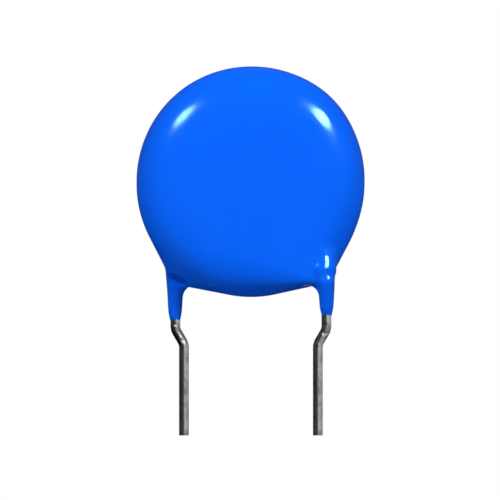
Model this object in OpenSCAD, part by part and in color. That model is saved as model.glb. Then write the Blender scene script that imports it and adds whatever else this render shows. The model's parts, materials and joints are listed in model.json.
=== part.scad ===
// Ceramic disc capacitor with two kinked leads.
// It stands on edge over its leads, with its flat faces towards -Y and +Y.
// Z = 0 is the seating plane, just under the kinks, and the origin is midway between the leads.

/* [Body] */
// Diameter of the finished body
body_d = 12.75; // [10:0.05:16]
// Thickness of the finished body
body_t = 4.2; // [3.5:0.05:6]
// Gap between the seating plane and the lowest edge of the body
body_gap = 2.95; // [2.4:0.05:4]
// How far the resin sagged below the round of the body while it cured
resin_sag = 0.2; // [0:0.05:0.4]
// Resin around the edge of the ceramic
rim_coat = 0.6; // [0.4:0.05:1]
// Resin over the leads, on each face
face_coat = 0.62; // [0.4:0.02:0.8]

/* [Electrodes] */
// Bare ceramic around the edge of each silver electrode
electrode_margin = 0.55; // [0.3:0.05:1]
// Thickness of each silver electrode
electrode_t = 0.05; // [0.03:0.01:0.08]

/* [Leads] */
// Distance between the leads along X, below the kinks
lead_pitch = 7.5; // [5:0.1:10]
// Diameter of the lead wire
wire_d = 0.55; // [0.45:0.01:0.68]
// Length of each lead below the seating plane
lead_length = 4.8; // [3:0.1:25]
// Straight wire between the seating plane and the kink
kink_gap = 0.13; // [0.05:0.01:0.4]
// How far each lead steps outwards at its kink
kink_step = 0.48; // [0.3:0.02:0.7]
// Slope of the kink from upright
kink_angle = 30; // [25:1:40]
// Bend radius of the wire's centre line
bend_r = 0.7; // [0.5:0.05:0.9]
// Distance along X between the upper ends of the leads
contact_spread = 4.8; // [3.6:0.1:6]
// How far the leads reach above the middle of the ceramic
contact_rise = 1.9; // [1:0.1:2.5]

/* [Solder] */
// Diameter of the solder around each lead
solder_d = 1.1; // [0.9:0.05:1.2]
// Length of each soldered joint, between the middles of its rounded ends
solder_length = 3.2; // [2:0.1:3.6]
// Distance from the wire's end to the middle of the solder's upper end
solder_inset = 0.9; // [0.7:0.1:1.2]
// Solder between each wire and its electrode
solder_film = 0.03; // [0.02:0.01:0.05]

/* [Resin legs] */
// Radius of the resin web where a lead enters the body
web_r = 0.8; // [0.7:0.05:1]
// Height of the web's centre above the lowest edge of the body
web_rise = 1.45; // [1.2:0.05:1.8]
// How far the web's centre lies inwards of the lead
web_inset = 0.4; // [0.2:0.05:0.6]
// Diameter of a resin leg inside the web
leg_d = 1.2; // [1:0.05:1.4]
// Resin around the wire at the tip of a leg
tip_coat = 0.03; // [0.02:0.01:0.08]
// Height of the right leg's tip above the seating plane
right_tip = 1.9; // [1.4:0.05:2.2]
// Height of the left leg's tip above the seating plane
left_tip = 1.65; // [1.4:0.05:2.2]

/* [Hidden] */
$fn = 48;

// The right lead is on the front face, which faces -Y, and the left lead on the rear face.
FRONT = -1;
REAR = 1;

rim_r = body_t / 2;
body_z = body_gap + resin_sag + body_d / 2;

// The ceramic fills what the resin, the leads and the electrodes leave of the body.
wire_y = body_t / 2 - face_coat - wire_d / 2;
electrode_y = wire_y - wire_d / 2 - solder_film;
ceramic_t = 2 * (electrode_y - electrode_t);
ceramic_d = body_d - 2 * rim_coat;
electrode_d = ceramic_d - 2 * electrode_margin;

leg_x = lead_pitch / 2 + kink_step;
web_z = body_gap + web_rise;
leg_top = web_z + web_r * 3 / 4;

// The kink's straight middle makes up the step that its two bends leave.
kink_straight = (kink_step - 2 * bend_r * (1 - cos(kink_angle))) / sin(kink_angle);
kink_top = kink_gap + 2 * bend_r * sin(kink_angle) + kink_straight * cos(kink_angle);

// From the web's centre each lead leans towards the middle of the ceramic.
lean_in = leg_x - contact_spread / 2;
lean_up = body_z + contact_rise - web_z;
lean_angle = atan(lean_in / lean_up);
lean_bend = bend_r * tan(lean_angle / 2);

// A lead above the seating plane, as [straight length, bend after it]. Outwards is positive.
pin_overlap = 1;
lead_run = [
    [pin_overlap + kink_gap, kink_angle],
    [kink_straight, -kink_angle],
    [web_z - lean_bend - kink_top, -lean_angle],
    [norm([lean_in, lean_up]) - lean_bend, 0]
];
wire_sides = 24;
bend_steps = 6;
// The bent wire is this much thinner than the straight pin it grows from.
pin_step = 0.002;

// A station is a place on the wire's centre line, as [x, z, direction from upright].
function ahead(station, length) =
    [station[0] + length * sin(station[2]), station[1] + length * cos(station[2]), station[2]];
function bent(station, angle, r) =
    let (hand = sign(angle), from = station[2], to = station[2] + angle)
    [
        station[0] + hand * r * (cos(from) - cos(to)),
        station[1] + hand * r * (sin(to) - sin(from)),
        to
    ];
function bend_stations(station, angle, r) =
    [for (k = [1 : bend_steps]) bent(station, angle * k / bend_steps, r)];
// All stations of a run: the end of each straight, then the steps round the bend after it
function stations(run, from, r, i = 0) =
    let (end = ahead(from, run[i][0]), bend = run[i][1] == 0 ? [] : bend_stations(end, run[i][1], r))
    let (done = concat([end], bend))
    i == len(run) - 1 ? done : concat(done, stations(run, done[len(done) - 1], r, i + 1));

// A tube of round section swept through stations, closed at both ends
module swept_wire(stations, d) {
    rings = len(stations);
    points = [
        for (s = stations, k = [0 : wire_sides - 1])
            let (a = 360 * k / wire_sides, out = d / 2 * cos(a))
            [s[0] + out * cos(s[2]), d / 2 * sin(a), s[1] - out * sin(s[2])]
    ];
    walls = [
        for (i = [0 : rings - 2], k = [0 : wire_sides - 1])
            let (a = i * wire_sides + k, b = i * wire_sides + (k + 1) % wire_sides)
            each [[a, a + wire_sides, b], [b, a + wire_sides, b + wire_sides]]
    ];
    foot = [for (k = [0 : wire_sides - 1]) k];
    head = [for (k = [wire_sides - 1 : -1 : 0]) (rings - 1) * wire_sides + k];
    polyhedron(points, concat(walls, [foot, head]));
}

// Puts a lead's parts, drawn in the XZ plane at +X, on their face and their side
module on_face(face) {
    mirror([face == REAR ? 1 : 0, 0, 0]) translate([0, face * wire_y, 0]) children();
}

module lead(face) {
    start = [lead_pitch / 2, -pin_overlap, 0];
    on_face(face) {
        translate([lead_pitch / 2, 0, -lead_length]) cylinder(h = lead_length + kink_gap, d = wire_d);
        swept_wire(concat([start], stations(lead_run, start, bend_r)), wire_d - pin_step);
    }
}

// A flat round disc on edge, from inner_y outwards
module upright_disc(d, t, face, inner_y) {
    translate([0, face * (inner_y + t / 2), body_z])
        rotate([90, 0, 0]) cylinder(h = t, d = d, center = true);
}

module ceramic() {
    upright_disc(ceramic_d, ceramic_t, FRONT, -ceramic_t / 2);
}

module electrode(face) {
    upright_disc(electrode_d, electrode_t, face, ceramic_t / 2);
}

// Solder round the leaning end of a lead, flat on the electrode
module solder(face) {
    end = stations(lead_run, [lead_pitch / 2, -pin_overlap, 0], bend_r);
    top = ahead(end[len(end) - 1], -solder_inset);
    difference() {
        on_face(face) hull() {
            for (s = [top, ahead(top, -solder_length)])
                translate([s[0], 0, s[1]]) sphere(d = solder_d, $fn = 32);
        }
        upright_disc(body_d, electrode_y * 2, face, -electrode_y);
        lead(face);
    }
}

// Resin that ran down a lead and thinned out at its tip
module resin_leg(face, tip) {
    on_face(face) translate([leg_x, 0, tip])
        cylinder(h = leg_top - tip, d1 = wire_d + 2 * tip_coat, d2 = leg_d);
}

module resin_body() {
    hull() {
        for (drop = [0, resin_sag])
            translate([0, 0, body_z - drop]) rotate([90, 0, 0]) rotate_extrude()
                translate([body_d / 2 - rim_r, 0]) circle(r = rim_r, $fn = 32);
        for (face = [FRONT, REAR])
            on_face(face) translate([leg_x - web_inset, 0, web_z]) sphere(r = web_r, $fn = 32);
    }
}

module coating() {
    color("#0b63f6") difference() {
        union() {
            resin_body();
            resin_leg(FRONT, right_tip);
            resin_leg(REAR, left_tip);
        }
        ceramic();
        for (face = [FRONT, REAR]) {
            electrode(face);
            solder(face);
            lead(face);
        }
    }
}

module ceramic_disc() {
    color("#c9b08a") ceramic();
}

module front_electrode() {
    color("#d9dadb") electrode(FRONT);
}

module rear_electrode() {
    color("#d9dadb") electrode(REAR);
}

module right_lead() {
    color("#9b9c9f") lead(FRONT);
}

module left_lead() {
    color("#9b9c9f") lead(REAR);
}

module front_solder() {
    color("#b7babd") solder(FRONT);
}

module rear_solder() {
    color("#b7babd") solder(REAR);
}

coating();
ceramic_disc();
front_electrode();
rear_electrode();
right_lead();
left_lead();
front_solder();
rear_solder();
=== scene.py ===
import json
import math

import bpy
from mathutils import Matrix, Vector


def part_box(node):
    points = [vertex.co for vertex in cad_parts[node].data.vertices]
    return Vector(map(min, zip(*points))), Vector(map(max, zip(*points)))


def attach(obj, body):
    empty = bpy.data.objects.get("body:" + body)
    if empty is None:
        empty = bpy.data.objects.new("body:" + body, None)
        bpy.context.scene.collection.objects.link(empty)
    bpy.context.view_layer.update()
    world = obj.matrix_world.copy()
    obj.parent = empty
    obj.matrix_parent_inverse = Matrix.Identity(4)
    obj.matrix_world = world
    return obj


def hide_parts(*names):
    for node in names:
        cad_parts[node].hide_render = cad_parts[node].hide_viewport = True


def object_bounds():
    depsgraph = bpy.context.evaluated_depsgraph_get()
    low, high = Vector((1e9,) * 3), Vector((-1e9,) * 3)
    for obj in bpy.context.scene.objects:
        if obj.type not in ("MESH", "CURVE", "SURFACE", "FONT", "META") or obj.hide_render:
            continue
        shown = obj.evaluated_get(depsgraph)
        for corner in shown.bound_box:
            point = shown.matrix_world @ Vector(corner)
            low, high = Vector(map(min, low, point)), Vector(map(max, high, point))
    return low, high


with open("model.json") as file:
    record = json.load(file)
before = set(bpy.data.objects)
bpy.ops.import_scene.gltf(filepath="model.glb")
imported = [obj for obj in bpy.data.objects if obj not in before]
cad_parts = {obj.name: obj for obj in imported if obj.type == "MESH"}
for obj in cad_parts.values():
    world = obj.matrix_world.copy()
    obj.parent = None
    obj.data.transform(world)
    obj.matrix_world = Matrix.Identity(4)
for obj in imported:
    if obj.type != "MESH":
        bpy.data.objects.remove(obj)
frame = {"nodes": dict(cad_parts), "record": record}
cadLow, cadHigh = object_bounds()
mm = 0.001
print("frame loaded with", len(frame["nodes"]), "nodes")


# Colours are written as sRGB hex and used as linear RGBA
def linear(colour):
    shades = [int(colour[i:i + 2], 16) / 255 for i in (1, 3, 5)]
    return [s / 12.92 if s <= 0.04045 else ((s + 0.055) / 1.055) ** 2.4 for s in shades] + [1.0]


# Adds a node. inputs holds values or feeding sockets, by name or in socket order.
# A node given as an input stands for its first output.
def addNode(tree, kind, inputs=(), **settings):
    node = tree.nodes.new(kind)
    for name, value in settings.items():
        setattr(node, name, value)
    for name, value in inputs.items() if isinstance(inputs, dict) else enumerate(inputs):
        if isinstance(value, bpy.types.Node):
            value = value.outputs[0]
        if isinstance(value, bpy.types.NodeSocket):
            tree.links.new(value, node.inputs[name])
        else:
            node.inputs[name].default_value = value
    return node


def newMaterial(name):
    material = bpy.data.materials.new(name)
    material.use_nodes = True
    material.node_tree.nodes.clear()
    return material, material.node_tree


# A geometry tree that takes these named sizes, all in mm
def newGeometryTree(name, sizes):
    tree = bpy.data.node_groups.new(name, "GeometryNodeTree")
    tree.interface.new_socket("Geometry", in_out="INPUT", socket_type="NodeSocketGeometry")
    tree.interface.new_socket("Geometry", in_out="OUTPUT", socket_type="NodeSocketGeometry")
    for size in sizes:
        tree.interface.new_socket(size, in_out="INPUT", socket_type="NodeSocketFloat")
    return tree, tree.nodes.new("NodeGroupInput").outputs


# Ends a geometry tree: smooth shading, mm made metres, instances made real, and the material
def finishTree(tree, shape, material):
    smooth = addNode(tree, "GeometryNodeSetShadeSmooth", {"Geometry": shape})
    small = addNode(tree, "GeometryNodeTransform", {"Geometry": smooth, "Scale": (mm, mm, mm)})
    real = addNode(tree, "GeometryNodeRealizeInstances", [small])
    done = addNode(tree, "GeometryNodeSetMaterial", {"Geometry": real, "Material": material})
    addNode(tree, "NodeGroupOutput", [done])
    return tree


# Runs a geometry tree on a mesh and keeps the result as a plain mesh on an object at the origin
def makePiece(name, mesh, tree, sizes):
    maker = bpy.data.objects.new(name + ".maker", mesh)
    bpy.context.scene.collection.objects.link(maker)
    modifier = maker.modifiers.new("build", "NODES")
    modifier.node_group = tree
    for item in tree.interface.items_tree:
        if item.name in sizes:
            modifier[item.identifier] = float(sizes[item.name])
    built = maker.evaluated_get(bpy.context.evaluated_depsgraph_get())
    piece = bpy.data.objects.new(name, bpy.data.meshes.new_from_object(built))
    bpy.data.objects.remove(maker)
    bpy.context.scene.collection.objects.link(piece)
    print(name, "has", sum(len(p.vertices) - 2 for p in piece.data.polygons), "triangles")
    return piece


# What the frame says about the body and the leads, in mm
coatLow, coatHigh = (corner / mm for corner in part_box("coating"))
leadLow, leadHigh = (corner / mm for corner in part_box("right_lead"))
discLow, discHigh = (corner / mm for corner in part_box("ceramic_disc"))
pinX = abs(next(m for m in frame["record"]["mounts"] if m["name"] == "right_pin")["pos_m"][0]) / mm
wireR = (leadHigh.y - leadLow.y) / 2
wireY = abs(leadHigh.y + leadLow.y) / 2
legX = leadHigh.x - wireR
bodyZ = (discLow.z + discHigh.z) / 2
sides = {"right": 1, "left": -1}  # the right lead is on the front face, the left one on the rear

# Pigmented epoxy resin, dipped and oven cured: it flowed out to a wet gloss with faint orange peel
epoxyLook = {
    "colour": "#0665FC",
    "deepColour": "#055FF2",
    "glossTint": "#A5F9FF",  # the gloss is cooler than the lamp
    "tintGrain": 3.0,  # mm across the drift in colour where the resin is thicker
    "roughness": 0.13,
    "dullRoughness": 0.17,
    "hazeGrain": 4.5,  # mm across the patches that cured a little duller
    "hazeRange": (0.35, 0.65),  # between these values of the noise the gloss turns duller
    "peelGrain": 1.1,  # mm across the orange peel
    "peelHeight": 0.003,  # mm
    "ior": 1.55,
}


def epoxyMaterial(look):
    material, tree = newMaterial("dipped_epoxy_resin")
    place = addNode(tree, "ShaderNodeTexCoord").outputs["Object"]
    drift = addNode(tree, "ShaderNodeTexNoise", {
        "Vector": place, "Scale": 1 / (look["tintGrain"] * mm), "Detail": 2.0})
    colour = addNode(tree, "ShaderNodeMix", {
        "Factor": drift, "A": linear(look["deepColour"]), "B": linear(look["colour"])},
        data_type="RGBA")
    haze = addNode(tree, "ShaderNodeTexNoise", {
        "Vector": place, "Scale": 1 / (look["hazeGrain"] * mm)})
    glossy, dull = look["hazeRange"]
    roughness = addNode(tree, "ShaderNodeMapRange", {
        "Value": haze, "From Min": glossy, "From Max": dull,
        "To Min": look["roughness"], "To Max": look["dullRoughness"]})
    peel = addNode(tree, "ShaderNodeTexNoise", {
        "Vector": place, "Scale": 1 / (look["peelGrain"] * mm), "Detail": 1.0})
    bump = addNode(tree, "ShaderNodeBump", {
        "Height": peel, "Distance": look["peelHeight"] * mm, "Strength": 1.0})
    shader = addNode(tree, "ShaderNodeBsdfPrincipled", {
        "Base Color": colour.outputs["Result"], "Roughness": roughness, "Normal": bump,
        "IOR": look["ior"], "Specular Tint": linear(look["glossTint"])})
    addNode(tree, "ShaderNodeOutputMaterial", [shader])
    return material


# Tinned copper wire, drawn through a die: soft grey metal with fine lines along its length
wireLook = {
    "colour": "#B9BABD",
    "darkColour": "#8E8F92",
    "roughness": 0.3,
    "dullRoughness": 0.46,
    "lineGrain": 0.07,  # mm between lines, about ten times as coarse as real ones so that they show
    "lineStretch": 14,  # how many times longer than wide a line is
    "lineDepth": 0.004,  # mm
    "tinGrain": 0.5,  # mm across the duller patches in the tin
    "tinRange": (0.38, 0.62),  # between these values of the noise the tin turns duller
}


def wireMaterial(look):
    material, tree = newMaterial("tinned_drawn_wire")
    along = addNode(tree, "ShaderNodeAttribute", attribute_name="along").outputs["Fac"]
    around = addNode(tree, "ShaderNodeAttribute", attribute_name="around").outputs["Fac"]
    angle = addNode(tree, "ShaderNodeMath", [around, 2 * math.pi], operation="MULTIPLY")
    onCircle = [
        addNode(tree, "ShaderNodeMath", [
            addNode(tree, "ShaderNodeMath", [angle], operation=part), wireR], operation="MULTIPLY")
        for part in ("COSINE", "SINE")]
    slow = addNode(tree, "ShaderNodeMath", [along, look["lineStretch"]], operation="DIVIDE")
    onWire = addNode(tree, "ShaderNodeCombineXYZ", onCircle + [along])
    stretched = addNode(tree, "ShaderNodeCombineXYZ", onCircle + [slow])
    lines = addNode(tree, "ShaderNodeTexNoise", {
        "Vector": stretched, "Scale": 1 / look["lineGrain"], "Detail": 3.0})
    patches = addNode(tree, "ShaderNodeTexNoise", {
        "Vector": onWire, "Scale": 1 / look["tinGrain"], "Detail": 3.0})
    bright, dullest = look["tinRange"]
    dull = addNode(tree, "ShaderNodeMapRange", {
        "Value": patches, "From Min": bright, "From Max": dullest})
    roughness = addNode(tree, "ShaderNodeMapRange", {
        "Value": dull, "To Min": look["roughness"], "To Max": look["dullRoughness"]})
    colour = addNode(tree, "ShaderNodeMix", {
        "Factor": dull, "A": linear(look["colour"]), "B": linear(look["darkColour"])},
        data_type="RGBA")
    bump = addNode(tree, "ShaderNodeBump", {
        "Height": lines, "Distance": look["lineDepth"] * mm, "Strength": 1.0})
    shader = addNode(tree, "ShaderNodeBsdfPrincipled", {
        "Base Color": colour.outputs["Result"], "Metallic": 1.0,
        "Roughness": roughness, "Normal": bump})
    addNode(tree, "ShaderNodeOutputMaterial", [shader])
    return material


# The sealed pieces. Fired ceramic is matt and faintly speckled, fired silver is dull and even
# where it was printed, and soft solder is a brighter metal that set in soft ripples.
innerLooks = {
    "fired_barium_titanate": {
        "nodes": ["ceramic_disc"],
        "colour": "#C9B08A", "darkColour": "#B59B76",
        "metallic": 0.0, "roughness": 0.6, "grain": 0.3, "depth": 0.004},
    "fired_silver": {
        "nodes": ["front_electrode", "rear_electrode"],
        "colour": "#DCDCDA", "darkColour": "#C4C4C1",
        "metallic": 1.0, "roughness": 0.45, "grain": 0.12, "depth": 0.002},
    "soft_solder": {
        "nodes": ["front_solder", "rear_solder"],
        "colour": "#C6C8CB", "darkColour": "#A6A8AC",
        "metallic": 1.0, "roughness": 0.25, "grain": 0.6, "depth": 0.02},
}


# One noise, with its grain and depth in mm, drives both the drift in colour and the surface
def innerMaterial(name, look):
    material, tree = newMaterial(name)
    place = addNode(tree, "ShaderNodeTexCoord").outputs["Object"]
    noise = addNode(tree, "ShaderNodeTexNoise", {
        "Vector": place, "Scale": 1 / (look["grain"] * mm), "Detail": 3.0})
    colour = addNode(tree, "ShaderNodeMix", {
        "Factor": noise, "A": linear(look["darkColour"]), "B": linear(look["colour"])},
        data_type="RGBA")
    bump = addNode(tree, "ShaderNodeBump", {
        "Height": noise, "Distance": look["depth"] * mm, "Strength": 1.0})
    shader = addNode(tree, "ShaderNodeBsdfPrincipled", {
        "Base Color": colour.outputs["Result"], "Metallic": look["metallic"],
        "Roughness": look["roughness"], "Normal": bump})
    addNode(tree, "ShaderNodeOutputMaterial", [shader])
    return material


epoxy = epoxyMaterial(epoxyLook)
tinnedWire = wireMaterial(wireLook)
for name, look in innerLooks.items():
    material = innerMaterial(name, look)
    for node in look["nodes"]:
        for slot in frame["nodes"][node].material_slots:
            slot.material = material
print("materials made")

# The coating's sizes in mm, seen from the front
coatingShape = {
    "inputs": {
        "Body Diameter": coatHigh.x - coatLow.x,
        "Body Thickness": coatHigh.y - coatLow.y,
        "Body Z": bodyZ,
        "Sag": 0.2,
        "Wire Radius": wireR,
        "Leg X": legX + 0.015,  # the resin hangs a little outwards of the wire
        "Right Lean": 0.2,  # how far each leg leans away from the body's middle plane
        "Left Lean": 0.06,
        "Lean Height": 2.0,  # above the tip, where the lean is full
        "Right Tip": 1.88,
        "Left Tip": 1.61,
        "Tip Wave": 0.07,
        "Right Fillet": 0.95,
        "Left Fillet": 0.8,
        "Ripple": 0.02,
        "Ripple Grain": 4.0,
        "Voxel": 0.072,
    },
    "evenings": 2,  # how many times the voxels' steps are evened out of the skin
    "margin": 0.4,  # empty space between the body and the sides of its block of voxels
    "bodySteps": (361, 97),  # points round the disc, and over its edge from face to face
    "webSteps": 96,
    "tipWaves": 2.0,  # waves round the end of each leg
    "tipTurn": 0.6,  # radians
    # a power that says how full the edge is. One side is rounder: which way in degrees from +X,
    # and by how much.
    "edge": {"power": 1 / 3, "softTowards": 150, "softMore": 0.25},
    # where the round of the body swells: degrees round from +X, height, and spread in degrees
    "swells": [(46, 0.08, 20), (96, -0.02, 18), (196, 0.05, 28), (215, 0.035, 12), (321, 0.11, 13)],
    # the balls that the body's skin is drawn over where a lead enters: centre and radius
    "webs": [
        (legX - 0.43, -0.6, 4.45, 0.8), (3.1, -1.6, 4.1, 0.42), (2.7, -1.55, 4.02, 0.42),
        (0.43 - legX, 0.75, 4.38, 0.8)],
    # thickness of the resin on each wire, by height above the tip
    "legProfile": {
        "right": [
            (0, 0.01), (0.12, 0.035), (0.3, 0.075), (0.6, 0.115), (0.9, 0.14), (1.15, 0.155),
            (1.5, 0.17), (1.9, 0.175), (2.3, 0.16), (2.8, 0.06), (3.4, -0.1)],
        "left": [
            (0, 0.01), (0.12, 0.035), (0.3, 0.075), (0.6, 0.115), (0.9, 0.14), (1.15, 0.15),
            (1.45, 0.165), (1.7, 0.18), (2.1, 0.2), (2.7, 0.2), (3.4, 0.15)],
    },
    # resin that pooled over a lead where it enters, as rods from ball to ball: centre and radius
    # of each. The thin rods fill the corner between leg and belly.
    "pools": {
        "right": [
            {"balls": [(3.0, -1.6, 4.03, 0.33), (3.8, -1.63, 3.96, 0.38)], "blend": 0.25},
            {"balls": [(3.3, -1.55, 4.5, 0.4), (3.85, -1.62, 4.3, 0.38)], "blend": 0.3},
            {"balls": [(3.98, -1.16, 5.52, 0.69), (3.98, -1.48, 4.47, 0.69)], "blend": 0.15},
            {"balls": [(4.11, -1.12, 5.52, 0.69), (4.11, -1.44, 4.47, 0.69)], "blend": 0.03},
            {"balls": [(4.17, -1.74, 3.7, 0.42), (4.23, -1.35, 2.4, 0.34)], "blend": 0.16},
            {"balls": [(4.14, -1.68, 4.06, 0.44), (4.14, -1.76, 3.84, 0.44)], "blend": 0.08},
            {"balls": [(4.24, -1.66, 4.06, 0.44), (4.24, -1.74, 3.84, 0.44)], "blend": 0.02},
            {"balls": [(3.5, -1.5, 3.68, 0.1), (3.95, -1.5, 3.24, 0.1)], "blend": 0.3},
        ],
        "left": [{"balls": [(-3.95, 1.3, 3.2, 0.1), (-3.5, 1.3, 3.66, 0.1)], "blend": 0.3}],
    },
    # hollows under the resin's belly, where the rear lead comes out
    "hollows": {
        "left": [
            {"balls": [(-4.3, -0.6, 3.9, 0.37), (-4.3, 0.46, 3.9, 0.37)], "blend": 0.06},
            {"balls": [(-3.98, -0.6, 3.72, 0.37), (-3.98, 0.42, 3.72, 0.37)], "blend": 0.06},
        ],
    },
}


# Distance to a rod that runs from ball to ball
def rodDistance(tree, place, balls):
    start, end = (Vector(ball[:3]) for ball in balls)
    wide, narrow = (ball[3] for ball in balls)
    rod = end - start
    local = addNode(tree, "ShaderNodeVectorMath", [place, start], operation="SUBTRACT")
    reached = addNode(tree, "ShaderNodeVectorMath", [
        local, rod], operation="DOT_PRODUCT").outputs["Value"]
    share = addNode(tree, "ShaderNodeMath", [
        reached, rod.length_squared], operation="DIVIDE", use_clamp=True)
    step = addNode(tree, "ShaderNodeVectorMath", {0: rod, "Scale": share}, operation="SCALE")
    apart = addNode(tree, "ShaderNodeVectorMath", [local, step], operation="DISTANCE")
    girth = addNode(tree, "ShaderNodeMath", [share, narrow - wide, wide], operation="MULTIPLY_ADD")
    return addNode(tree, "ShaderNodeMath", [apart.outputs["Value"], girth], operation="SUBTRACT")


# One skin drawn tight over the round body, its sagged copy and the webs where the leads enter
def bodySkin(tree, size):
    # a unit grid rolled into the round body, a disc whose face domes gently into its edge:
    # X becomes the way round it and Y the way over its edge
    edge = coatingShape["edge"]
    roundSteps, overSteps = coatingShape["bodySteps"]
    grid = addNode(tree, "GeometryNodeMeshGrid", {
        "Size X": 1, "Size Y": 1, "Vertices X": roundSteps, "Vertices Y": overSteps})
    flat = addNode(tree, "ShaderNodeSeparateXYZ", [addNode(tree, "GeometryNodeInputPosition")])
    turn = addNode(tree, "ShaderNodeMath", [flat.outputs["X"], 2 * math.pi], operation="MULTIPLY")
    tilt = addNode(tree, "ShaderNodeMath", [flat.outputs["Y"], math.pi], operation="MULTIPLY")
    cosTilt = addNode(tree, "ShaderNodeMath", [
        addNode(tree, "ShaderNodeMath", [tilt], operation="COSINE"), 0.0],
        operation="MAXIMUM")
    fuller = addNode(tree, "ShaderNodeMath", [
        turn, math.radians(edge["softTowards"])], operation="SUBTRACT")
    fuller = addNode(tree, "ShaderNodeMath", [
        addNode(tree, "ShaderNodeMath", [fuller], operation="COSINE"), 0.0],
        operation="MAXIMUM")
    power = addNode(tree, "ShaderNodeMath", [
        fuller, edge["softMore"], edge["power"]], operation="MULTIPLY_ADD")
    reach = addNode(tree, "ShaderNodeMath", [cosTilt, power], operation="POWER")
    radius = addNode(tree, "ShaderNodeMath", [size["Body Diameter"], 0.5], operation="MULTIPLY")
    for angle, height, spread in coatingShape["swells"]:
        off = addNode(tree, "ShaderNodeMath", [turn, math.radians(angle)], operation="SUBTRACT")
        near = addNode(tree, "ShaderNodeMath", [off, math.pi, -math.pi], operation="WRAP")
        ratio = addNode(tree, "ShaderNodeMath", [near, math.radians(spread)], operation="DIVIDE")
        square = addNode(tree, "ShaderNodeMath", [ratio, ratio], operation="MULTIPLY")
        fade = addNode(tree, "ShaderNodeMath", [math.exp(-1), square], operation="POWER")
        radius = addNode(tree, "ShaderNodeMath", [fade, height, radius], operation="MULTIPLY_ADD")
    ring = addNode(tree, "ShaderNodeMath", [reach, radius], operation="MULTIPLY")
    half = addNode(tree, "ShaderNodeMath", [size["Body Thickness"], 0.5], operation="MULTIPLY")
    x = addNode(tree, "ShaderNodeMath", [
        ring, addNode(tree, "ShaderNodeMath", [turn], operation="COSINE")],
        operation="MULTIPLY")
    y = addNode(tree, "ShaderNodeMath", [
        half, addNode(tree, "ShaderNodeMath", [tilt], operation="SINE")],
        operation="MULTIPLY")
    z = addNode(tree, "ShaderNodeMath", [
        ring, addNode(tree, "ShaderNodeMath", [turn], operation="SINE"),
        size["Body Z"]], operation="MULTIPLY_ADD")
    disc = addNode(tree, "GeometryNodeSetPosition", {
        "Geometry": grid, "Position": addNode(tree, "ShaderNodeCombineXYZ", [x, y, z])})
    down = addNode(tree, "ShaderNodeMath", [size["Sag"], -1.0], operation="MULTIPLY")
    sagged = addNode(tree, "GeometryNodeTransform", {
        "Geometry": disc, "Translation": addNode(tree, "ShaderNodeCombineXYZ", [0.0, 0.0, down])})

    cloud = addNode(tree, "GeometryNodeJoinGeometry")
    tree.links.new(disc.outputs[0], cloud.inputs[0])
    tree.links.new(sagged.outputs[0], cloud.inputs[0])
    for *centre, webRadius in coatingShape["webs"]:
        ball = addNode(tree, "GeometryNodeMeshUVSphere", {
            "Segments": coatingShape["webSteps"], "Rings": coatingShape["webSteps"] // 2,
            "Radius": webRadius})
        web = addNode(tree, "GeometryNodeTransform", {"Geometry": ball, "Translation": centre})
        tree.links.new(web.outputs[0], cloud.inputs[0])
    hull = addNode(tree, "GeometryNodeConvexHull", [cloud])
    return addNode(tree, "GeometryNodeSetShadeSmooth", {"Geometry": hull})


# Distance to a leg, which follows its wire down and thins out to nothing, with a wavy edge
def legDistance(tree, size, place, name, side):
    foot = addNode(tree, "ShaderNodeVectorMath", [
        addNode(tree, "ShaderNodeCombineXYZ", [
            size["Leg X"], wireY, size[name.title() + " Tip"]]),
        (side, -side, 1)], operation="MULTIPLY")
    local = addNode(tree, "ShaderNodeVectorMath", [place, foot], operation="SUBTRACT")
    split = addNode(tree, "ShaderNodeSeparateXYZ", [local])
    height = split.outputs["Z"]
    leaned = addNode(tree, "ShaderNodeMapRange", {
        "Value": height, "From Max": size["Lean Height"],
        "To Max": size[name.title() + " Lean"]})
    depth = addNode(tree, "ShaderNodeMath", [
        leaned, side, split.outputs["Y"]], operation="MULTIPLY_ADD")
    across = addNode(tree, "ShaderNodeVectorMath", [
        addNode(tree, "ShaderNodeCombineXYZ", [
            split.outputs["X"], depth, 0.0])], operation="LENGTH")
    legProfile = coatingShape["legProfile"][name]
    top = legProfile[-1][0]
    share = addNode(tree, "ShaderNodeMath", [height, top], operation="DIVIDE", use_clamp=True)
    thickness = addNode(tree, "ShaderNodeFloatCurve", {"Value": share})
    curve = thickness.mapping.curves[0]
    for i, (up, coat) in enumerate(legProfile):
        point = (up / top, coat)
        if i in (0, len(legProfile) - 1):
            curve.points[-1 if i else 0].location = point
        else:
            curve.points.new(*point)
    thickness.mapping.update()
    girth = addNode(tree, "ShaderNodeMath", [thickness, size["Wire Radius"]], operation="ADD")
    wall = addNode(tree, "ShaderNodeMath", [
        across.outputs["Value"], girth], operation="SUBTRACT")
    around = addNode(tree, "ShaderNodeMath", [
        split.outputs["X"], split.outputs["Y"]], operation="ARCTAN2")
    waves = addNode(tree, "ShaderNodeMath", [
        around, coatingShape["tipWaves"], coatingShape["tipTurn"] * side], operation="MULTIPLY_ADD")
    wave = addNode(tree, "ShaderNodeMath", [
        addNode(tree, "ShaderNodeMath", [waves], operation="COSINE"),
        size["Tip Wave"]], operation="MULTIPLY")
    below = addNode(tree, "ShaderNodeMath", [wave, height], operation="SUBTRACT")
    above = addNode(tree, "ShaderNodeMath", [height, top], operation="SUBTRACT")
    leg = addNode(tree, "ShaderNodeMath", [wall, below], operation="MAXIMUM")
    return addNode(tree, "ShaderNodeMath", [leg, above], operation="MAXIMUM")


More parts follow.
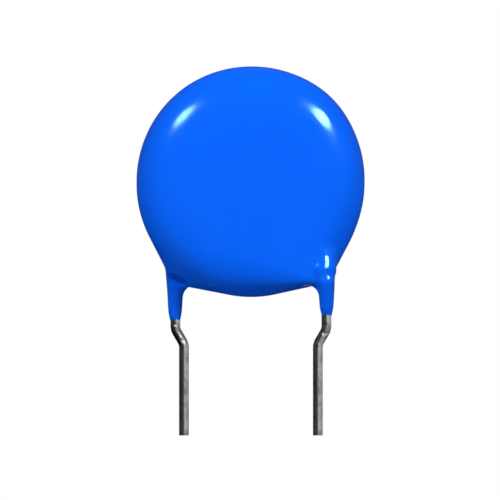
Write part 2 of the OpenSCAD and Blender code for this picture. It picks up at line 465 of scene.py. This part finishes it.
def coatingTree():
    tree, size = newGeometryTree("coating", coatingShape["inputs"])
    skin = bodySkin(tree, size)

    # distance to that skin, less than nothing inside it, with slow ripples on it
    place = addNode(tree, "GeometryNodeInputPosition")
    nearest = addNode(tree, "GeometryNodeSampleNearestSurface", {
        "Mesh": skin, "Value": place, "Sample Position": place}, data_type="FLOAT_VECTOR")
    facing = addNode(tree, "GeometryNodeSampleNearestSurface", {
        "Mesh": skin, "Value": addNode(tree, "GeometryNodeInputNormal"), "Sample Position": place},
        data_type="FLOAT_VECTOR")
    off = addNode(tree, "ShaderNodeVectorMath", [place, nearest], operation="SUBTRACT")
    resin = addNode(tree, "ShaderNodeVectorMath", [
        off, facing], operation="DOT_PRODUCT").outputs["Value"]
    grain = addNode(tree, "ShaderNodeMath", [1.0, size["Ripple Grain"]], operation="DIVIDE")
    ripple = addNode(tree, "ShaderNodeTexNoise", {"Vector": place, "Scale": grain, "Detail": 0.0})
    swell = addNode(tree, "ShaderNodeMath", [ripple, 0.5], operation="SUBTRACT")
    swell = addNode(tree, "ShaderNodeMath", [swell, size["Ripple"]], operation="MULTIPLY")
    resin = addNode(tree, "ShaderNodeMath", [resin, swell], operation="SUBTRACT")

    for name, side in sides.items():
        leg = legDistance(tree, size, place, name, side)
        resin = addNode(tree, "ShaderNodeMath", [
            resin, leg, size[name.title() + " Fillet"]], operation="SMOOTH_MIN")
        for hollow in coatingShape["hollows"].get(name, []):
            bite = addNode(tree, "ShaderNodeMath", [
                rodDistance(tree, place, hollow["balls"]), -1.0], operation="MULTIPLY")
            resin = addNode(tree, "ShaderNodeMath", [
                resin, bite, hollow["blend"]], operation="SMOOTH_MAX")
        for pool in coatingShape["pools"][name]:
            lump = rodDistance(tree, place, pool["balls"])
            resin = addNode(tree, "ShaderNodeMath", [
                resin, lump, pool["blend"]], operation="SMOOTH_MIN")

    # fill a block of voxels with it and take the skin where it is nothing
    margin = coatingShape["margin"]
    low = [edge - margin for edge in coatLow]
    high = [edge + margin for edge in coatHigh]
    counts = [int((b - a) / coatingShape["inputs"]["Voxel"]) + 1 for a, b in zip(low, high)]
    density = addNode(tree, "ShaderNodeMath", [1.0, resin], operation="SUBTRACT")
    volume = addNode(tree, "GeometryNodeVolumeCube", {
        "Density": density, "Background": 0.0, "Min": low, "Max": high,
        "Resolution X": counts[0], "Resolution Y": counts[1], "Resolution Z": counts[2]})
    shell = addNode(tree, "GeometryNodeVolumeToMesh", {"Volume": volume, "Threshold": 1.0})
    even = addNode(tree, "GeometryNodeBlurAttribute", {
        "Value": place, "Iterations": coatingShape["evenings"]}, data_type="FLOAT_VECTOR")
    evened = addNode(tree, "GeometryNodeSetPosition", {"Geometry": shell, "Position": even})
    return finishTree(tree, evened, epoxy)


coating = makePiece(
    "epoxy_coating", bpy.data.meshes.new("empty"), coatingTree(), coatingShape["inputs"])
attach(coating, "root")
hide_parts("coating")

# The leads' sizes in mm
leadShape = {
    "inputs": {
        "Wire Radius": wireR,
        "Bend Radius": 0.7,
    },
    "kinkGap": 0.13,  # between the seating plane and the kink's lower bend
    "kinkAngle": math.radians(30),
    "webZ": 4.4,  # where the wire turns inwards, inside the body
    "contactX": 2.4,
    "contactRise": 1.9,  # how far it reaches above the middle of the ceramic
    "bendSteps": 16,
    "stepLength": 0.04,
    "ringSteps": 48,
    "flatShare": 0.6,  # how much of a flat's half length is fully pressed
    "fadeShare": 1.3,  # where it has faded out
    # flats that the forming tool pressed in: height, where each one faces, depth and half length
    "dieMarks": {
        "right": [
            (1.33, (-0.2, -0.95, 0.2), 0.02, 0.14), (0.83, (0.3, -0.93, 0.15), 0.03, 0.15),
            (0.5, (0.5, -0.8, -0.3), 0.04, 0.2), (0.1, (-0.3, -0.93, 0.2), 0.02, 0.12)],
        "left": [
            (1.37, (0.08, -0.98, 0.16), 0.025, 0.1), (0.4, (0.1, -0.98, 0.15), 0.015, 0.2)],
    },
}
bendRun = leadShape["inputs"]["Bend Radius"] * math.tan(leadShape["kinkAngle"] / 2)
kinkLow = leadShape["kinkGap"] + bendRun
kinkHigh = kinkLow + (legX - pinX) / math.tan(leadShape["kinkAngle"])


def leadTree(name, side):
    tree, size = newGeometryTree(name + "Lead", leadShape["inputs"])
    path = addNode(tree, "GeometryNodeMeshToCurve", [size["Geometry"]])
    bent = addNode(tree, "GeometryNodeFilletCurve", {
        "Curve": path, "Radius": size["Bend Radius"], "Count": leadShape["bendSteps"],
        "Limit Radius": True}, mode="POLY")
    fine = addNode(tree, "GeometryNodeResampleCurve", {
        "Curve": bent, "Length": leadShape["stepLength"]}, mode="LENGTH")
    along = addNode(tree, "GeometryNodeSplineParameter").outputs["Length"]
    marked = addNode(tree, "GeometryNodeStoreNamedAttribute", {
        "Geometry": fine, "Name": "along", "Value": along},
        data_type="FLOAT", domain="POINT")
    ring = addNode(tree, "GeometryNodeCurvePrimitiveCircle", {
        "Resolution": leadShape["ringSteps"], "Radius": size["Wire Radius"]})
    around = addNode(tree, "GeometryNodeSplineParameter").outputs["Factor"]
    ringMarked = addNode(tree, "GeometryNodeStoreNamedAttribute", {
        "Geometry": ring, "Name": "around", "Value": around},
        data_type="FLOAT", domain="POINT")
    tube = addNode(tree, "GeometryNodeCurveToMesh", {
        "Curve": marked, "Profile Curve": ringMarked, "Fill Caps": True})

    # press each flat in: whatever stands proud of it moves back onto it, less towards its ends
    place = addNode(tree, "GeometryNodeInputPosition").outputs[0]
    for height, facing, depth, half in leadShape["dieMarks"][name]:
        climb = min(max((height - kinkLow) / (kinkHigh - kinkLow), 0), 1)
        centre = (side * (pinX + climb * (legX - pinX)), -side * wireY, height)
        normal = Vector(facing).normalized()
        local = addNode(tree, "ShaderNodeVectorMath", [place, centre], operation="SUBTRACT")
        reach = addNode(tree, "ShaderNodeVectorMath", [local, normal], operation="DOT_PRODUCT")
        level = addNode(tree, "ShaderNodeMath", [size["Wire Radius"], depth], operation="SUBTRACT")
        proud = addNode(tree, "ShaderNodeMath", [
            addNode(tree, "ShaderNodeMath", [
                reach.outputs["Value"], level], operation="SUBTRACT"), 0.0],
            operation="MAXIMUM")
        away = addNode(tree, "ShaderNodeMath", [
            addNode(tree, "ShaderNodeSeparateXYZ", [local]).outputs["Z"]], operation="ABSOLUTE")
        held = addNode(tree, "ShaderNodeMapRange", {
            "Value": away, "From Min": half * leadShape["flatShare"],
            "From Max": half * leadShape["fadeShare"], "To Min": 1.0, "To Max": 0.0},
            interpolation_type="SMOOTHSTEP")
        push = addNode(tree, "ShaderNodeMath", [
            addNode(tree, "ShaderNodeMath", [
                proud, held], operation="MULTIPLY"), -1.0], operation="MULTIPLY")
        shift = addNode(tree, "ShaderNodeVectorMath", {0: normal, "Scale": push}, operation="SCALE")
        place = addNode(tree, "ShaderNodeVectorMath", [place, shift], operation="ADD").outputs[0]
    pressed = addNode(tree, "GeometryNodeSetPosition", {"Geometry": tube, "Position": place})
    return finishTree(tree, pressed, tinnedWire)


# The corners of a lead's route before its bends are rounded, from its cut end up
def leadCorners(side):
    corners = [
        (pinX, leadLow.z), (pinX, kinkLow), (legX, kinkHigh), (legX, leadShape["webZ"]),
        (leadShape["contactX"], bodyZ + leadShape["contactRise"])]
    return [(side * x, -side * wireY, z) for x, z in corners]


wires = []
for name, side in sides.items():
    corners = leadCorners(side)
    route = bpy.data.meshes.new(name + "Route")
    route.from_pydata(corners, [(i, i + 1) for i in range(len(corners) - 1)], [])
    lead = makePiece(name + "_wire", route, leadTree(name, side), leadShape["inputs"])
    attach(lead, "root")
    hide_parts(name + "_lead")
    wires.append(lead)

# The camera and the room
studio = {
    "viewWidth": 28.01,  # mm
    "aimX": -0.05,  # mm
    "aimZ": 5.59,  # mm
    "distance": 0.3,  # m
    "lampDistance": 0.3,  # m
    "ambient": 0.1,  # even light from all round
    "frontGloss": 0.09,  # what gloss mirrors of the room in front and behind
    "rearGloss": 0.04,
    "darkBelow": -0.3,  # the mirrored room fades to black from just over the horizon down to here
    "litAbove": 0.05,
    "backdropHalfAngle": math.radians(18),
    "backdropGloss": 0.5,  # how much of its white the part mirrors
    "floorColour": "#A8A8A8",  # as the part is lit by it
    "floorGlow": 0.2,  # brings the floor up to white for the camera
    "floorReach": 1.0,  # m
}

cameraData = bpy.data.cameras.new("camera")
cameraData.type = "ORTHO"
cameraData.ortho_scale = studio["viewWidth"] * mm
camera = bpy.data.objects.new("camera", cameraData)
camera.location = (studio["aimX"] * mm, -studio["distance"], studio["aimZ"] * mm)
camera.rotation_euler = (math.pi / 2, 0, 0)
bpy.context.scene.collection.objects.link(camera)
bpy.context.scene.camera = camera

# Each softbox stands in a direction from the body and spans width x height degrees there.
# Two give the soft light, and two that show in gloss alone make the glints on the shoulders.
# The wires have lamps of their own at the right, and their left side mirrors the dark of the room.
softboxes = {
    "right": {"towards": (0.53, -0.66, 0.56), "span": (12, 12), "glow": 66.0, "shows": "diffuse"},
    "left": {"towards": (-0.53, -0.66, 0.56), "span": (12, 12), "glow": 49.5, "shows": "diffuse"},
    "rightGlint": {
        "towards": (0.58, -0.644, 0.499), "span": (11.5, 24), "glow": 44.0,
        "shows": "glossy", "lights": "coating"},
    "leftGlint": {
        "towards": (-0.585, -0.609, 0.536), "span": (11, 12), "glow": 29.0,
        "shows": "glossy", "lights": "coating"},
    "side": {"towards": (0.71, -0.71, 0.0), "span": (145, 60), "glow": 0.75, "lights": "wires"},
    "sideEdge": {"towards": (0.97, 0.25, 0.0), "span": (50, 60), "glow": 0.7, "lights": "wires"},
    "wireGlint": {"towards": (0.25, -0.9, 0.3), "span": (12, 16), "glow": 12.0, "lights": "wires"},
    "rear": {"towards": (0.0, 0.8, 0.6), "span": (40, 40), "glow": 3.5, "shows": "diffuse"},
}
litGroups = {}
for name, pieces in {"coating": [coating], "wires": wires}.items():
    litGroups[name] = bpy.data.collections.new(name)
    for piece in pieces:
        litGroups[name].objects.link(piece)


def softbox(name, box):
    data = bpy.data.lights.new(name + "Softbox", "AREA")
    data.shape = "ELLIPSE"
    data.size, data.size_y = (
        2 * studio["lampDistance"] * math.tan(math.radians(angle / 2)) for angle in box["span"])
    area = math.pi / 4 * data.size * data.size_y
    data.energy = box["glow"] * math.pi * area
    lamp = bpy.data.objects.new(name + "Softbox", data)
    outwards = Vector(box["towards"]).normalized()
    sideways = outwards.cross((0, 1, 0)).normalized()
    turn = Matrix((sideways, outwards.cross(sideways), outwards)).transposed()
    place = outwards * studio["lampDistance"] + Vector((0, 0, bodyZ * mm))
    lamp.matrix_world = Matrix.Translation(place) @ turn.to_4x4()
    lamp.visible_camera = False
    lamp.visible_glossy = box.get("shows") != "diffuse"
    lamp.visible_diffuse = box.get("shows") != "glossy"
    bpy.context.scene.collection.objects.link(lamp)
    if "lights" in box:
        lamp.light_linking.receiver_collection = litGroups[box["lights"]]


for name, box in softboxes.items():
    softbox(name, box)

# The world is white behind the part, and the rest of the room is dark where gloss would mirror it
world = bpy.data.worlds.new("studio")
bpy.context.scene.world = world
world.use_nodes = True
tree = world.node_tree
tree.nodes.clear()
rays = addNode(tree, "ShaderNodeLightPath").outputs
heading = addNode(tree, "ShaderNodeSeparateXYZ", [
    addNode(tree, "ShaderNodeTexCoord").outputs["Generated"]])
toBackdrop = addNode(tree, "ShaderNodeMapRange", {
    "Value": heading.outputs["Y"], "From Min": math.cos(studio["backdropHalfAngle"]),
    "From Max": 1.0, "To Max": studio["backdropGloss"]}, interpolation_type="SMOOTHSTEP")
mirrors = addNode(tree, "ShaderNodeMath", [
    rays["Is Glossy Ray"], rays["Is Transmission Ray"]], operation="MAXIMUM")
mirrored = addNode(tree, "ShaderNodeMath", [toBackdrop, mirrors], operation="MULTIPLY")
showsWhite = addNode(tree, "ShaderNodeMath", [rays["Is Camera Ray"], mirrored], operation="MAXIMUM")
room = addNode(tree, "ShaderNodeMapRange", {
    "Value": heading.outputs["Y"], "From Min": 0.0, "From Max": 1.0,
    "To Min": studio["frontGloss"], "To Max": studio["rearGloss"]})
aboveFloor = addNode(tree, "ShaderNodeMapRange", {
    "Value": heading.outputs["Z"], "From Min": studio["darkBelow"], "From Max": studio["litAbove"]})
room = addNode(tree, "ShaderNodeMath", [room, aboveFloor], operation="MULTIPLY")
glow = addNode(tree, "ShaderNodeMix", {"Factor": mirrors, "A": studio["ambient"], "B": room})
strength = addNode(tree, "ShaderNodeMix", {"Factor": showsWhite, "A": glow, "B": 1.0})
addNode(tree, "ShaderNodeOutputWorld", [
    addNode(tree, "ShaderNodeBackground", {"Color": (1, 1, 1, 1), "Strength": strength})])

# The camera sees the floor as white, with the part's shadow on it, and sees through it from below
reach = studio["floorReach"]
floorMesh = bpy.data.meshes.new("floor")
floorMesh.from_pydata([
    (-reach, -reach, cadLow.z), (reach, -reach, cadLow.z),
    (reach, reach, cadLow.z), (-reach, reach, cadLow.z)], [], [(0, 1, 2, 3)])
floor = bpy.data.objects.new("floor", floorMesh)
bpy.context.scene.collection.objects.link(floor)
floorMaterial, tree = newMaterial("pale_floor")
rays = addNode(tree, "ShaderNodeLightPath").outputs
pale = addNode(tree, "ShaderNodeBsdfDiffuse", {"Color": linear(studio["floorColour"])})
white = addNode(tree, "ShaderNodeAddShader", [
    addNode(tree, "ShaderNodeBsdfDiffuse", {"Color": linear("#FFFFFF")}),
    addNode(tree, "ShaderNodeEmission", {
        "Color": linear("#FFFFFF"), "Strength": studio["floorGlow"]})])
fromAbove = addNode(tree, "ShaderNodeMixShader", [rays["Is Camera Ray"], pale, white])
fromBelow = addNode(tree, "ShaderNodeNewGeometry").outputs["Backfacing"]
oneSided = addNode(tree, "ShaderNodeMixShader", [
    fromBelow, fromAbove, addNode(tree, "ShaderNodeBsdfTransparent")])
addNode(tree, "ShaderNodeOutputMaterial", [oneSided])
floorMesh.materials.append(floorMaterial)
floor.visible_glossy = False

bpy.context.scene.view_settings.view_transform = "Standard"
print("stage set")
